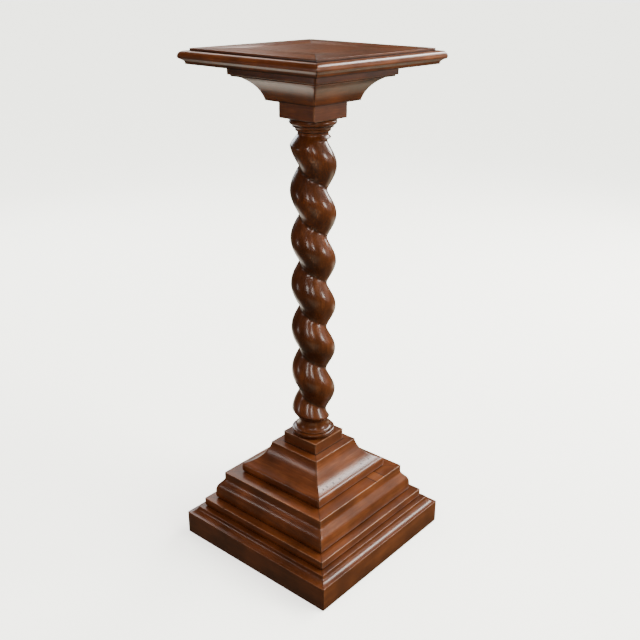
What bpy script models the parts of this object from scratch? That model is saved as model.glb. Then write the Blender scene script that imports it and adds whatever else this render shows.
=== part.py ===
"""Barley twist pedestal, in metres with +Z up and the origin on the floor under the middle of the base.

Four moulded square tiers carry a square column plinth and a turned column with a carved left-handed twist.
Above the column come a neck block, a hollow square capital, and a moulded top board that carries a frame of
four mitred rails round a flat field. Everything above the column has slipped a little round its axis.
"""

import math

import bmesh
import bpy

MM = 0.001

# What touching pieces leave between them, and the rounding of a cut edge
GLUE_GAP = 0.3 * MM
EASED_EDGE = 1.2 * MM

# Plinth board: a deep flat board, a ledge on it, a small cove and a lip
PLINTH_WIDTH = 400.0 * MM
PLINTH_FACE = 53.0 * MM
PLINTH_FOOT_ROUND = 2.5 * MM
PLINTH_LEDGE = 9.0 * MM
PLINTH_COVE_WIDTH = 8.0 * MM
PLINTH_COVE_RISE = 11.2 * MM
PLINTH_LIP = 3.0 * MM

# Step board: a flat edge, rounded under
STEP_MARGIN = 11.0 * MM
STEP_HEIGHT = 20.1 * MM
STEP_ROUND_WIDTH = 5.0 * MM
STEP_ROUND_HEIGHT = 6.5 * MM

# Ogee board: a flat fillet, an ogee that swells out below it, and a rounded foot
OGEE_MARGIN = 17.6 * MM
OGEE_HEIGHT = 64.7 * MM
OGEE_FILLET = 14.0 * MM
OGEE_SWELL = 15.4 * MM
OGEE_RISE = 40.6 * MM
OGEE_LEAN = 0.6
OGEE_STEEPNESS = 2.4
OGEE_FOOT_ROUND = 4.5 * MM

# Cove base: a flat foot, rounded under, and a long hollow up to a narrow flat top
COVE_MARGIN = 27.6 * MM
COVE_BASE_HEIGHT = 73.1 * MM
COVE_FOOT_FACE = 13.0 * MM
COVE_FOOT_ROUND_WIDTH = 4.5 * MM
COVE_FOOT_ROUND_HEIGHT = 7.5 * MM
COVE_HOLLOW = 9.8 * MM
COVE_TOP_EDGE = 3.0 * MM
COVE_TOP_LEDGE = 19.2 * MM

# The square stock that the column is turned from also makes its plinth and its neck block
STOCK_WIDTH = 91.4 * MM
COLUMN_PLINTH_HEIGHT = 24.8 * MM
NECK_BLOCK_HEIGHT = 31.8 * MM

# Column foot: a torus that is fullest near its top, a quirk, a fillet and a cove that closes in to the twist
COLUMN_HEIGHT = 668.7 * MM
FOOT_TORUS = 11.9 * MM
FOOT_TORUS_FULLEST = 8.7 * MM
FOOT_TORUS_ROUND = 6.3 * MM
FOOT_QUIRK_RADIUS = 39.4 * MM
FOOT_QUIRK_HEIGHT = 1.2 * MM
FOOT_FILLET_RADIUS = 41.2 * MM
FOOT_FILLET = 1.2 * MM
FOOT_COVE = 19.4 * MM
FOOT_NECK_RADIUS = 30.6 * MM

# Column head: a neck, two fillets with a cove between them, and a torus
HEAD_NECK_RADIUS = 29.7 * MM
HEAD_NECK = 7.6 * MM
HEAD_LOWER_RADIUS = 33.8 * MM
HEAD_LOWER_FILLET = 1.6 * MM
HEAD_COVE = 5.6 * MM
HEAD_UPPER_RADIUS = 39.6 * MM
HEAD_UPPER_FILLET = 2.2 * MM
HEAD_QUIRK = 1.6 * MM
HEAD_TORUS = 11.5 * MM

# Twist: one bine, carved left-handed, whose groove runs out at each end under a rounded shoulder
CREST_INSET = 0.2 * MM
GROOVE_RADIUS = 27.2 * MM
TWIST_PITCH = 95.6 * MM
TWIST_START_DEG = -65.4
BINE_FULLNESS = 1.17
SHOULDER_LENGTH = 23.0 * MM
SHOULDER_ROUNDING = 1.35
GROOVE_RUNOUT = 5.0 * MM

# Capital: a square hollow that spreads to a flat fillet
CAPITAL_WIDTH = 225.8 * MM
CAPITAL_FILLET = 18.3 * MM
CAPITAL_STEP_WIDTH = 4.3 * MM
CAPITAL_STEP_HEIGHT = 3.3 * MM
CAPITAL_LEDGE = 8.4 * MM
CAPITAL_HOLLOW = 6.4 * MM
CAPITAL_HOLLOW_RISE = 40.8 * MM
CAPITAL_FOOT_EDGE = 1.9 * MM
CAPITAL_FOOT_LEDGE = 18.4 * MM

# Top board: a small cove, a quirk and an ovolo, with a flat ledge on it
TOP_WIDTH = 351.6 * MM
TOP_UNDERCUT = 10.2 * MM
TOP_COVE_WIDTH = 3.9 * MM
TOP_COVE_HEIGHT = 7.0 * MM
TOP_QUIRK = 1.2 * MM
TOP_OVOLO_WIDTH = 8.8 * MM
TOP_OVOLO_UNDER = 5.0 * MM
TOP_OVOLO_OVER = 10.0 * MM

# Frame and field: thin flat pieces glued on the top board
PANEL_MARGIN = 17.4 * MM
PANEL_THICKNESS = 4.4 * MM
RAIL_WIDTH = 73.0 * MM

# How far the head has slipped round on the column, clockwise from above
HEAD_TURN_DEG = -2.6

# How finely the round work and the mouldings are divided
ROUND_SIDES = 36
TWIST_ROWS_PER_TURN = 14
TORUS_STEPS = 6
SWEEP_STEPS = 12
CURVE_STEPS = 5
SMALL_CURVE_STEPS = 4

MAHOGANY = (0.150, 0.048, 0.019)
DARK_MAHOGANY = (0.105, 0.034, 0.014)
RED_MAHOGANY = (0.185, 0.058, 0.022)


def new_collection(name):
    collection = bpy.data.collections.new(name)
    bpy.context.scene.collection.children.link(collection)
    return collection


def wood(name, colour, roughness):
    material = bpy.data.materials.new(name)
    material.use_nodes = True
    shader = material.node_tree.nodes["Principled BSDF"]
    shader.inputs["Base Color"].default_value = (*colour, 1.0)
    shader.inputs["Roughness"].default_value = roughness
    shader.inputs["Metallic"].default_value = 0.0
    return material


def arc(centre, radii, start, end, steps=CURVE_STEPS):
    """Points (out, up) along an ellipse, between two angles in degrees counted from straight out."""
    angles = [math.radians(start + (end - start) * k / steps) for k in range(steps + 1)]
    return [(centre[0] + radii[0] * math.cos(a), centre[1] + radii[1] * math.sin(a)) for a in angles]


def hollow(upper, lower, depth):
    """Points from the upper to the lower end of a shallow hollow, sunk by depth at its middle."""
    across, down = lower[0] - upper[0], upper[1] - lower[1]
    chord = math.hypot(across, down)
    points = []
    for k in range(SWEEP_STEPS + 1):
        t = k / SWEEP_STEPS
        sunk = 4.0 * depth * t * (1.0 - t)
        out = upper[0] + across * t - sunk * down / chord
        points.append((out, upper[1] - down * t - sunk * across / chord))
    return points


def ogee(upper, lower, lean, steepness):
    """Points down an S-curve that leaves and arrives upright.

    A lean under 1 moves its slope upwards, and more steepness draws the slope together.
    """
    points = []
    for k in range(SWEEP_STEPS + 1):
        t = k / SWEEP_STEPS
        swell = (t**lean) ** steepness
        out = swell / (swell + (1.0 - t**lean) ** steepness)
        points.append((upper[0] + (lower[0] - upper[0]) * out, upper[1] + (lower[1] - upper[1]) * t))
    return points


def swept(name, outline, steps, collection):
    """An object whose Screw modifier turns an outline, given from the top down, about the vertical axis."""
    points = [(0.0, outline[0][1]), *outline, (0.0, outline[-1][1])]
    mesh = bpy.data.meshes.new(name)
    edges = [(k, k + 1) for k in range(len(points) - 1)]
    mesh.from_pydata([(out, 0.0, up) for out, up in points], edges, [])
    piece = bpy.data.objects.new(name, mesh)
    collection.objects.link(piece)
    screw = piece.modifiers.new("sweep", "SCREW")
    screw.angle = 2.0 * math.pi
    screw.steps = screw.render_steps = steps
    screw.use_merge_vertices = True
    screw.merge_threshold = 0.00001
    return piece


def square_moulding(name, outline, base, collection):
    """A moulding swept round a square. The outline gives half widths, which are stretched to the corners."""
    corner = math.sqrt(2.0)
    piece = swept(name, [(half * corner, up) for half, up in outline], 4, collection)
    piece.modifiers["sweep"].use_smooth_shade = False
    piece.rotation_euler.z = math.radians(45.0)
    piece.location.z = base
    return piece


def ease(piece):
    bevel = piece.modifiers.new("eased_edges", "BEVEL")
    bevel.width = EASED_EDGE
    bevel.segments = 2
    bevel.limit_method = "ANGLE"
    bevel.angle_limit = math.radians(40.0)
    return piece


def board(name, width, depth, height, base, collection):
    """A plain rectangular board, standing on the height called base."""
    mesh = bpy.data.meshes.new(name)
    shape = bmesh.new()
    bmesh.ops.create_cube(shape, size=1.0)
    bmesh.ops.scale(shape, vec=(width, depth, height), verts=shape.verts)
    shape.to_mesh(mesh)
    shape.free()
    piece = bpy.data.objects.new(name, mesh)
    piece.location.z = base + 0.5 * height
    collection.objects.link(piece)
    return piece


def plinth_board(base, half, collection):
    ledge_end = half - PLINTH_LEDGE
    lip = ledge_end - PLINTH_COVE_WIDTH
    cove_top = PLINTH_FACE + PLINTH_COVE_RISE
    outline = [(lip, cove_top + PLINTH_LIP)]
    outline += arc((ledge_end, cove_top), (PLINTH_COVE_WIDTH, PLINTH_COVE_RISE), 180.0, 270.0)
    outline += [(half, PLINTH_FACE)]
    foot = half - PLINTH_FOOT_ROUND
    round_radii = (PLINTH_FOOT_ROUND, PLINTH_FOOT_ROUND)
    outline += arc((foot, PLINTH_FOOT_ROUND), round_radii, 0.0, -90.0, SMALL_CURVE_STEPS)
    square_moulding("plinth_board", outline, base, collection)
    return base + cove_top + PLINTH_LIP, lip


def step_board(base, half, collection):
    outline = [(half, STEP_HEIGHT)]
    under = (half - STEP_ROUND_WIDTH, STEP_ROUND_HEIGHT)
    outline += arc(under, (STEP_ROUND_WIDTH, STEP_ROUND_HEIGHT), 0.0, -90.0)
    square_moulding("step_board", outline, base, collection)
    return base + STEP_HEIGHT, half


def ogee_board(base, half, collection):
    fillet = half - OGEE_SWELL
    ogee_top = OGEE_HEIGHT - OGEE_FILLET
    ogee_foot = ogee_top - OGEE_RISE
    outline = [(fillet, OGEE_HEIGHT)]
    outline += ogee((fillet, ogee_top), (half, ogee_foot), OGEE_LEAN, OGEE_STEEPNESS)
    under = (half - OGEE_FOOT_ROUND, ogee_foot)
    outline += arc(under, (OGEE_FOOT_ROUND, ogee_foot), 0.0, -90.0)[1:]
    square_moulding("ogee_board", outline, base, collection)
    return base + OGEE_HEIGHT, fillet


def cove_base(base, half, collection):
    top = 0.5 * STOCK_WIDTH + COVE_TOP_LEDGE
    hollow_top = (top, COVE_BASE_HEIGHT - COVE_TOP_EDGE)
    foot_top = (half, COVE_FOOT_ROUND_HEIGHT + COVE_FOOT_FACE)
    outline = [(top, COVE_BASE_HEIGHT)]
    outline += hollow(hollow_top, foot_top, COVE_HOLLOW)
    under = (half - COVE_FOOT_ROUND_WIDTH, COVE_FOOT_ROUND_HEIGHT)
    outline += arc(under, (COVE_FOOT_ROUND_WIDTH, COVE_FOOT_ROUND_HEIGHT), 0.0, -90.0)
    square_moulding("cove_base", outline, base, collection)
    return base + COVE_BASE_HEIGHT


def foot_outline():
    """The turned foot, from the start of the twist down to the bottom of the column."""
    torus = (0.5 * STOCK_WIDTH - FOOT_TORUS_ROUND, FOOT_TORUS_FULLEST)
    quirk_top = FOOT_TORUS + FOOT_QUIRK_HEIGHT
    fillet_top = quirk_top + FOOT_FILLET
    cove = (FOOT_FILLET_RADIUS - FOOT_NECK_RADIUS, FOOT_COVE)
    points = arc((FOOT_FILLET_RADIUS, fillet_top + FOOT_COVE), cove, 180.0, 270.0)
    points += [(FOOT_FILLET_RADIUS, quirk_top), (FOOT_QUIRK_RADIUS, FOOT_TORUS)]
    over = (FOOT_TORUS_ROUND, FOOT_TORUS - FOOT_TORUS_FULLEST)
    points += arc(torus, over, 80.0, 0.0, SMALL_CURVE_STEPS)
    points += arc(torus, (FOOT_TORUS_ROUND, FOOT_TORUS_FULLEST), 0.0, -90.0, SMALL_CURVE_STEPS)[1:]
    return points


def head_outline():
    """The turned head, from the top of the column down to the end of the twist."""
    torus = 0.5 * HEAD_TORUS
    upper_top = COLUMN_HEIGHT - HEAD_TORUS - HEAD_QUIRK
    cove_top = upper_top - HEAD_UPPER_FILLET
    cove_foot = cove_top - HEAD_COVE
    neck_top = cove_foot - HEAD_LOWER_FILLET
    cove = (HEAD_UPPER_RADIUS - HEAD_LOWER_RADIUS, HEAD_COVE)
    points = arc((0.5 * STOCK_WIDTH - torus, COLUMN_HEIGHT - torus), (torus, torus), 90.0, -75.0, TORUS_STEPS)
    points += [(HEAD_UPPER_RADIUS, upper_top)]
    points += arc((HEAD_UPPER_RADIUS, cove_foot), cove, 90.0, 180.0, SMALL_CURVE_STEPS)
    points += [(HEAD_LOWER_RADIUS, neck_top), (HEAD_NECK_RADIUS, neck_top - HEAD_LOWER_FILLET)]
    return points


def twist_radius(angle, height, length):
    """Radius of the twist in one direction, at a height above its foot. The crest falls back as it climbs."""
    crest_radius = 0.5 * STOCK_WIDTH - CREST_INSET
    crest = math.radians(TWIST_START_DEG) - 2.0 * math.pi * height / TWIST_PITCH
    bine = abs(math.cos(0.5 * (angle - crest))) ** BINE_FULLNESS
    from_end = min(height, length - height)
    cut = min(1.0, max(0.0, from_end / GROOVE_RUNOUT))
    depth = (crest_radius - GROOVE_RADIUS) * cut * cut * (3.0 - 2.0 * cut)
    carved = crest_radius - depth * (1.0 - bine)
    neck = FOOT_NECK_RADIUS if height < 0.5 * length else HEAD_NECK_RADIUS
    risen = min(1.0, max(0.0, from_end / SHOULDER_LENGTH))
    shoulder = crest_radius - (crest_radius - neck) * (1.0 - risen) ** SHOULDER_ROUNDING
    return min(carved, shoulder)


def twist_column(base, collection):
    """The column is turned as a plain blank between its foot and head, and the blank is then carved."""
    foot_height = FOOT_TORUS + FOOT_QUIRK_HEIGHT + FOOT_FILLET + FOOT_COVE
    head_height = HEAD_TORUS + HEAD_QUIRK + HEAD_UPPER_FILLET + HEAD_COVE + HEAD_LOWER_FILLET + HEAD_NECK
    length = COLUMN_HEIGHT - foot_height - head_height
    rows = max(TWIST_ROWS_PER_TURN, round(TWIST_ROWS_PER_TURN * length / TWIST_PITCH))
    outline = head_outline()
    for k in range(rows):
        outline.append((GROOVE_RADIUS, foot_height + length * (1.0 - k / rows)))
    outline += foot_outline()
    blank = swept("turned_blank", outline, ROUND_SIDES, collection)
    graph = bpy.context.evaluated_depsgraph_get()
    mesh = bpy.data.meshes.new_from_object(blank.evaluated_get(graph))
    mesh.name = "twist_column"
    for vertex in mesh.vertices:
        height = vertex.co.z - foot_height
        if 0.0 < height < length + 0.5 * HEAD_LOWER_FILLET and vertex.co.xy.length > 0.5 * GROOVE_RADIUS:
            angle = math.atan2(vertex.co.y, vertex.co.x)
            vertex.co.xy = vertex.co.xy.normalized() * twist_radius(angle, height, length)
    column = bpy.data.objects.new("twist_column", mesh)
    column.location.z = base
    collection.objects.link(column)
    bpy.data.objects.remove(blank)
    mesh.shade_smooth()
    mesh.set_sharp_from_angle(angle=math.radians(50.0))
    return base + COLUMN_HEIGHT


def capital_cove(base, collection):
    fillet = 0.5 * CAPITAL_WIDTH
    step = fillet - CAPITAL_STEP_WIDTH
    foot = 0.5 * STOCK_WIDTH + CAPITAL_FOOT_LEDGE
    hollow_top = CAPITAL_FOOT_EDGE + CAPITAL_HOLLOW_RISE
    step_top = hollow_top + CAPITAL_STEP_HEIGHT
    top = step_top + CAPITAL_FILLET
    outline = [(fillet, top), (fillet, step_top), (step, step_top), (step, hollow_top)]
    outline += hollow((step - CAPITAL_LEDGE, hollow_top), (foot, CAPITAL_FOOT_EDGE), CAPITAL_HOLLOW)
    outline += [(foot, 0.0)]
    piece = square_moulding("capital_cove", outline, base, collection)
    return piece, base + top


def top_board(base, collection):
    widest = 0.5 * TOP_WIDTH
    underside = widest - TOP_UNDERCUT
    cove_end = underside + TOP_COVE_WIDTH
    widest_height = TOP_COVE_HEIGHT + TOP_QUIRK + TOP_OVOLO_UNDER
    ledge = widest - TOP_OVOLO_WIDTH
    top = widest_height + TOP_OVOLO_OVER
    outline = arc((ledge, widest_height), (TOP_OVOLO_WIDTH, TOP_OVOLO_OVER), 90.0, 0.0)
    under = widest - cove_end
    outline += arc((cove_end, widest_height), (under, TOP_OVOLO_UNDER), 0.0, -80.0, SMALL_CURVE_STEPS)[1:]
    outline += arc((cove_end, 0.0), (TOP_COVE_WIDTH, TOP_COVE_HEIGHT), 90.0, 180.0, SMALL_CURVE_STEPS)
    piece = square_moulding("top_board", outline, base, collection)
    return piece, base + top


def top_rail(name, quarter_turns, base, collection):
    """One side of the frame: a board along -Y whose ends are drawn in to a mitre."""
    half = 0.5 * TOP_WIDTH - PANEL_MARGIN
    mitre_gap = 0.5 * math.sqrt(2.0) * GLUE_GAP
    piece = board(name, 2.0 * (half - mitre_gap), RAIL_WIDTH, PANEL_THICKNESS, base, collection)
    for vertex in piece.data.vertices:
        if vertex.co.y > 0.0:
            vertex.co.x -= math.copysign(RAIL_WIDTH, vertex.co.x)
        vertex.co.y -= half - 0.5 * RAIL_WIDTH
    piece.rotation_euler.z = quarter_turns * math.radians(90.0)
    return piece


def top_field(base, collection):
    half = 0.5 * TOP_WIDTH - PANEL_MARGIN - RAIL_WIDTH - GLUE_GAP
    return board("top_field", 2.0 * half, 2.0 * half, PANEL_THICKNESS, base, collection)


def build():
    for thing in list(bpy.data.objects):
        bpy.data.objects.remove(thing)
    parts = new_collection("barley_twist_pedestal")

    top, edge = plinth_board(0.0, 0.5 * PLINTH_WIDTH, parts)
    top, edge = step_board(top + GLUE_GAP, edge - STEP_MARGIN, parts)
    top, edge = ogee_board(top + GLUE_GAP, edge - OGEE_MARGIN, parts)
    top = cove_base(top + GLUE_GAP, edge - COVE_MARGIN, parts)
    base = top + GLUE_GAP
    ease(board("column_plinth", STOCK_WIDTH, STOCK_WIDTH, COLUMN_PLINTH_HEIGHT, base, parts))
    top = twist_column(base + COLUMN_PLINTH_HEIGHT + GLUE_GAP, parts)

    head = bpy.data.objects.new("head", None)
    head.rotation_euler.z = math.radians(HEAD_TURN_DEG)
    parts.objects.link(head)
    base = top + GLUE_GAP
    head_pieces = [ease(board("neck_block", STOCK_WIDTH, STOCK_WIDTH, NECK_BLOCK_HEIGHT, base, parts))]
    capital, top = capital_cove(base + NECK_BLOCK_HEIGHT + GLUE_GAP, parts)
    moulded_top, top = top_board(top + GLUE_GAP, parts)
    head_pieces += [capital, moulded_top]
    sides = ("front", "right", "back", "left")
    for turns, side in enumerate(sides):
        head_pieces.append(top_rail(f"top_rail_{side}", turns, top + GLUE_GAP, parts))
    head_pieces.append(top_field(top + GLUE_GAP, parts))
    for piece in head_pieces:
        piece.parent = head

    finishes = {
        "plinth_board": (MAHOGANY, 0.34),
        "step_board": (MAHOGANY, 0.34),
        "ogee_board": (MAHOGANY, 0.30),
        "cove_base": (RED_MAHOGANY, 0.28),
        "column_plinth": (MAHOGANY, 0.34),
        "twist_column": (DARK_MAHOGANY, 0.24),
        "neck_block": (MAHOGANY, 0.34),
        "capital_cove": (MAHOGANY, 0.30),
        "top_board": (RED_MAHOGANY, 0.28),
        "top_field": (MAHOGANY, 0.36),
    }
    for piece in parts.objects:
        if piece.type == "MESH":
            colour, roughness = finishes.get(piece.name, (RED_MAHOGANY, 0.36))
            piece.data.materials.append(wood(f"{piece.name}_wood", colour, roughness))


build()
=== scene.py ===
"""Looks of the barley twist pedestal: moulded, turned and carved mahogany, its polish and its stage."""

import math

import bpy
import numpy as np
from bpy.props import FloatProperty, FloatVectorProperty, IntProperty, PointerProperty, StringProperty
from mathutils import Euler, Matrix, Vector, noise


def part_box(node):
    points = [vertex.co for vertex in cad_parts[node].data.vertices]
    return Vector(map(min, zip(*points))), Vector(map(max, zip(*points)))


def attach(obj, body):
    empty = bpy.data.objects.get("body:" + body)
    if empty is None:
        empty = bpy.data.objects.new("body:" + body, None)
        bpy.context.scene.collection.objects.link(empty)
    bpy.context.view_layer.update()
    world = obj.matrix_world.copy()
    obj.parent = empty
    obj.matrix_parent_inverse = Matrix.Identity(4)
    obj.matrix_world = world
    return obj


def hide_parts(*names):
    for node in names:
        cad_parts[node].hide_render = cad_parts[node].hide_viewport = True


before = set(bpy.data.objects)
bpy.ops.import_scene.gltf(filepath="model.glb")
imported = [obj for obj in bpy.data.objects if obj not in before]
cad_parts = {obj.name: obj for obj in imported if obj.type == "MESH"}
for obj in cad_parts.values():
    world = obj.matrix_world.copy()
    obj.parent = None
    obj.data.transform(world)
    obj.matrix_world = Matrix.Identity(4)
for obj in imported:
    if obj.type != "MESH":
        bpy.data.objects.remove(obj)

bl_info = {
    "name": "Barley Twist Pedestal",
    "version": (1, 0, 0),
    "blender": (4, 5, 0),
    "location": "3D View > Sidebar > Pedestal",
    "description": "Models a polished mahogany pedestal with a left-handed barley twist column",
    "category": "Object",
}

MM = 0.001

# Square work. A round under a foot is (width, height), but the ogee board's is a width and fills its foot
STEP_FOOT_ROUND = (5.0 * MM, 6.5 * MM)
OGEE_FOOT_ROUND = 4.5 * MM
COVE_FOOT_ROUND = (4.5 * MM, 7.5 * MM)
PANEL_MARGIN = 17.4 * MM
RAIL_WIDTH = 73.0 * MM
MITRE_GAP = 0.15 * MM
INNER_MARGIN = 3.0 * MM
SHARP_TURN = math.radians(38.0)

# Turned and carved work
FOOT_NECK_RADIUS = 30.6 * MM
HEAD_NECK_RADIUS = 29.7 * MM
HEAD_QUIRK_RADIUS = 38.6 * MM
CREST_INSET = 0.2 * MM
GROOVE_SOFTNESS = 0.09
FOOT_RUNOUT = 5.0 * MM
HEAD_RUNOUT = 10.0 * MM
SHOULDER_LENGTH = 23.0 * MM
SHOULDER_ROUNDING = 1.35
BOW = 0.4 * MM
BOW_DIRECTION = math.radians(41.0)

# Wear and painted shade: how far each reaches from an edge, a corner, a crevice or the foot, and how deep the
# wear goes
ARRIS_REACH = 0.9 * MM
CORNER_REACH = 2.0 * MM
CREVICE_SHADE_REACH = 2.0 * MM
FOOT_SHADE_REACH = 26.0 * MM
RUB_DEPTH = 0.08 * MM
RUB_LENGTH = 23.0 * MM
WAVE_DEPTH = 0.04 * MM
WAVE_LENGTH = 90.0 * MM
JOINT_HALF_WIDTH = 1.2 * MM
MITRE_REACH = 0.9 * MM
DENT_RADIUS = 2.6 * MM


class PedestalShape(bpy.types.PropertyGroup):
    """Sizes of the turned, carved and moulded work."""

    arris_round: FloatProperty(
        name="Arris Round", description="Rounding of an outer edge", default=1.3 * MM, unit="LENGTH"
    )
    quirk_round: FloatProperty(
        name="Quirk Round", description="Rounding left in an inner corner", default=0.5 * MM, unit="LENGTH"
    )
    corner_round: FloatProperty(
        name="Corner Round", description="Rounding of the upright corners", default=2.2 * MM, unit="LENGTH"
    )
    side_cuts: IntProperty(
        name="Side Cuts",
        description="How many times each side of a moulding is divided",
        default=44,
        subtype="UNSIGNED",
    )
    ring_step: FloatProperty(
        name="Ring Step",
        description="Longest step between two rings of a moulding",
        default=2.2 * MM,
        unit="LENGTH",
    )
    head_turn: FloatProperty(
        name="Head Turn",
        description="How far the head has slipped round on the column",
        default=math.radians(-2.6),
        unit="ROTATION",
    )
    twist_pitch: FloatProperty(
        name="Twist Pitch", description="Height of one turn of the bine", default=95.6 * MM, unit="LENGTH"
    )
    twist_start: FloatProperty(
        name="Twist Start",
        description="Direction of the crest where the twist begins",
        default=math.radians(-65.4),
        unit="ROTATION",
    )
    groove_radius: FloatProperty(
        name="Groove Radius",
        description="Radius left at the bottom of the groove",
        default=27.2 * MM,
        unit="LENGTH",
    )
    bine_fullness: FloatProperty(
        name="Bine Fullness", description="Under 1 is a fuller bine, over 1 a wider groove", default=1.17
    )
    column_sides: IntProperty(
        name="Column Sides", description="Divisions round the column", default=160, subtype="UNSIGNED"
    )


class PedestalFinish(bpy.types.PropertyGroup):
    """Colours and gloss of the polished mahogany, as sRGB hex values."""

    dark_figure: StringProperty(
        name="Dark Figure", description="Darkest streak of the grain", default="#341809"
    )
    mid_figure: StringProperty(name="Mid Figure", description="Body colour of the wood", default="#4D2611")
    light_figure: StringProperty(
        name="Light Figure", description="Lightest streak of the grain", default="#6B3C1F"
    )
    # This colour is the black of painted shade in crevices, grooves, quirks and at the plinth's foot, and of
    # the real glaze in mitre joints, dents and the joints of the let-in piece
    glaze_and_shade: StringProperty(name="Glaze", description="Dark wax and glaze in the crevices", default="#100502")
    worn: StringProperty(name="Worn", description="Pale wood on the rubbed edges", default="#9C7660")
    roughness: FloatProperty(
        name="Roughness", description="Roughness of the wood under its polish", default=0.38, subtype="FACTOR"
    )
    polish_roughness: FloatProperty(
        name="Polish Roughness",
        description="Roughness of the French polish on the planed work",
        default=0.23,
        subtype="FACTOR",
    )
    turned_roughness: FloatProperty(
        name="Turned Polish Roughness",
        description="Roughness of the polish on the column",
        default=0.2,
        subtype="FACTOR",
    )
    polish_weight: FloatProperty(
        name="Polish Weight", description="How full the French polish is", default=0.55, subtype="FACTOR"
    )


class PedestalStage(bpy.types.PropertyGroup):
    """The floor, the lights and the camera."""

    floor_colour: StringProperty(name="Floor Colour", description="Plain pale floor", default="#F4F1EA")
    floor_size: FloatProperty(name="Floor Size", description="Side of the floor", default=80.0, unit="LENGTH")
    wall_height: FloatProperty(
        name="Wall Height", description="Height of the wall round it", default=30.0, unit="LENGTH"
    )
    lens: FloatProperty(
        name="Lens",
        description="Focal length in millimetres on a 36 mm sensor",
        default=47.234,
        unit="CAMERA",
    )
    camera_place: FloatVectorProperty(
        name="Camera Place",
        description="Where the camera stands",
        default=(1.05036, -1.20595, 1.17114),
        unit="LENGTH",
    )
    camera_turn: FloatVectorProperty(
        name="Camera Turn",
        description="Pan, tilt and roll of the camera",
        default=(math.radians(40.556), math.radians(67.533), math.radians(0.147)),
        unit="ROTATION",
    )


def shape():
    return bpy.context.scene.pedestal_shape


def finish():
    return bpy.context.scene.pedestal_finish


def linear(hex_colour):
    """sRGB hex to linear RGBA."""
    values = [int(hex_colour[k : k + 2], 16) / 255.0 for k in (1, 3, 5)]
    return (*[v / 12.92 if v <= 0.04045 else ((v + 0.055) / 1.055) ** 2.4 for v in values], 1.0)


# Materials


def add_node(tree, kind, inputs=(), output=0, stops=(), **settings):
    """Adds a node, with its properties and its ramp's stops, and gives back one of its outputs.

    inputs are values or links, either in order or keyed by number or name."""
    node = tree.nodes.new(f"ShaderNode{kind}")
    for name, value in settings.items():
        setattr(node, name, value)
    for key, value in inputs.items() if isinstance(inputs, dict) else enumerate(inputs):
        if isinstance(value, bpy.types.NodeSocket):
            tree.links.new(value, node.inputs[key])
        else:
            node.inputs[key].default_value = value
    if stops:
        elements = node.color_ramp.elements
        while len(elements) < len(stops):
            elements.new(1.0)
        for element, (place, colour) in zip(elements, stops):
            element.position = place
            element.color = colour
    return node.outputs[output]


def streaks(tree, grain, across_mm, along_ratio, detail, offset):
    """Noise drawn out along the grain: across_mm wide streaks, along_ratio times as long."""
    scale = 1.0 / (across_mm * MM)
    stretch = (scale / along_ratio, scale, scale)
    mapped = add_node(
        tree, "Mapping", {"Vector": grain, "Location": (offset, offset, offset), "Scale": stretch}
    )
    return add_node(tree, "TexNoise", {"Vector": mapped, "Scale": 1.0, "Detail": detail, "Roughness": 0.6})


def sideways_grain(tree, place):
    """(vector whose X runs along each side of the moulding, distance from the mitre where it turns)."""
    x, y, z = add_node(tree, "SeparateXYZ", (place,)).node.outputs
    across_x = add_node(tree, "Math", (x,), operation="ABSOLUTE")
    across_y = add_node(tree, "Math", (y,), operation="ABSOLUTE")
    faces_x = add_node(tree, "Math", (across_x, across_y), operation="GREATER_THAN")
    swapped = add_node(tree, "Math", (1.0, faces_x), operation="SUBTRACT")
    along = add_node(tree, "Math", (x, swapped), operation="MULTIPLY")
    along = add_node(tree, "Math", (y, faces_x, along), operation="MULTIPLY_ADD")
    main = add_node(tree, "Math", (y, swapped), operation="MULTIPLY")
    main = add_node(tree, "Math", (x, faces_x, main), operation="MULTIPLY_ADD")
    # Each side is cut from its own stretch of the board, so the figure differs from side to side
    board = add_node(tree, "Math", (faces_x, 1.9), operation="MULTIPLY")
    sign = add_node(tree, "Math", (main,), operation="SIGN")
    board = add_node(tree, "Math", (sign, 0.37, board), operation="MULTIPLY_ADD")
    out = add_node(tree, "Math", (main,), operation="ABSOLUTE")
    out = add_node(tree, "Math", (out, board), operation="ADD")
    vector = add_node(tree, "CombineXYZ", (add_node(tree, "Math", (along, board), operation="ADD"), out, z))
    mitre = add_node(tree, "Math", (across_x, across_y), operation="SUBTRACT")
    mitre = add_node(tree, "Math", (mitre,), operation="ABSOLUTE")
    return vector, mitre


def dents(tree, place, spots, radius):
    """1 in the middle of each small dent, falling to 0 at its rim."""
    mask = 0.0
    for spot in spots:
        away = add_node(tree, "VectorMath", (place, spot), "Value", operation="DISTANCE")
        dent = add_node(tree, "Math", (away, radius), operation="DIVIDE")
        dent = add_node(tree, "Math", (1.0, dent), operation="SUBTRACT", use_clamp=True)
        mask = add_node(tree, "Math", (mask, dent), operation="MAXIMUM")
    return mask


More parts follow.
